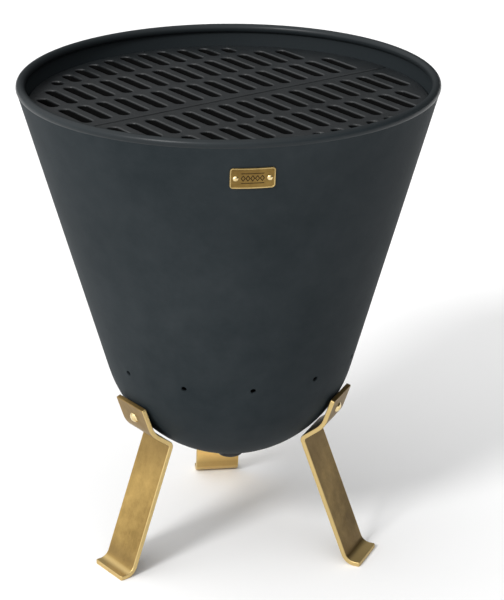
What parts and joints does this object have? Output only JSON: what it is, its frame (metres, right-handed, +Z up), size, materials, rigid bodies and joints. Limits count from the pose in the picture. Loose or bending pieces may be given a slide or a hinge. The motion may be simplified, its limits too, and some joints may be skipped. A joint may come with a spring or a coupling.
{
  "type": "charcoal fire bowl grill",
  "caption": "Cone-shaped charcoal fire bowl with a split cast cooking grate, air vents and a drain plug, standing on bent flat-bar brass legs.",
  "frame": {"origin": "on the floor under the bowl's axis", "axes": "+Z up the bowl's axis; -Y is the front, where the name plate is; +X to the right of it"},
  "size_m": [0.4399, 0.44, 0.528],
  "materials": {
    "bowl_coating": "matte heat-resistant coating",
    "cast_grate": "matte seasoned cast iron",
    "charcoal_plate": "heat-stained plate",
    "aged_brass": "brushed and lightly aged",
    "bright_brass": "polished heads",
    "zinc_steel": "zinc plated",
    "plug_black": "satin black",
    "seal_ring": "graphite sealing ring"
  },
  "bodies": {
    "bowl": {"fire_bowl": "bowl_coating", "rim_ring": "bowl_coating", "grate_support_lugs": "bowl_coating", "name_plate": "aged_brass", "name_plate_rivets": "bright_brass", "drain_socket": "bowl_coating", "drain_seal": "seal_ring", "left_leg": "aged_brass", "left_leg_bolt": "bright_brass", "left_leg_washer": "zinc_steel", "left_leg_nut": "zinc_steel", "right_leg": "aged_brass", "right_leg_bolt": "bright_brass", "right_leg_washer": "zinc_steel", "right_leg_nut": "zinc_steel", "rear_leg": "aged_brass", "rear_leg_bolt": "bright_brass", "rear_leg_washer": "zinc_steel", "rear_leg_nut": "zinc_steel"},
    "rear_grate": {"rear_cooking_grate": "cast_grate"},
    "front_grate": {"front_cooking_grate": "cast_grate"},
    "charcoal_plate": {"charcoal_grate": "charcoal_plate"},
    "plug": {"drain_plug": "plug_black"}
  },
  "joints": [
    {"name": "rear_grate_lift", "type": "slide", "parent": "bowl", "child": "rear_grate", "axis": [0, 0, 1], "range_m": [0, 0.06]},
    {"name": "front_grate_lift", "type": "slide", "parent": "bowl", "child": "front_grate", "axis": [0, 0, 1], "range_m": [0, 0.06]},
    {"name": "charcoal_grate_lift", "type": "slide", "parent": "bowl", "child": "charcoal_plate", "axis": [0, 0, 1], "range_m": [0, 0.2]},
    {"name": "drain_plug_pull", "type": "slide", "parent": "bowl", "child": "plug", "axis": [0, 0, -1], "range_m": [0, 0.03]}
  ]
}
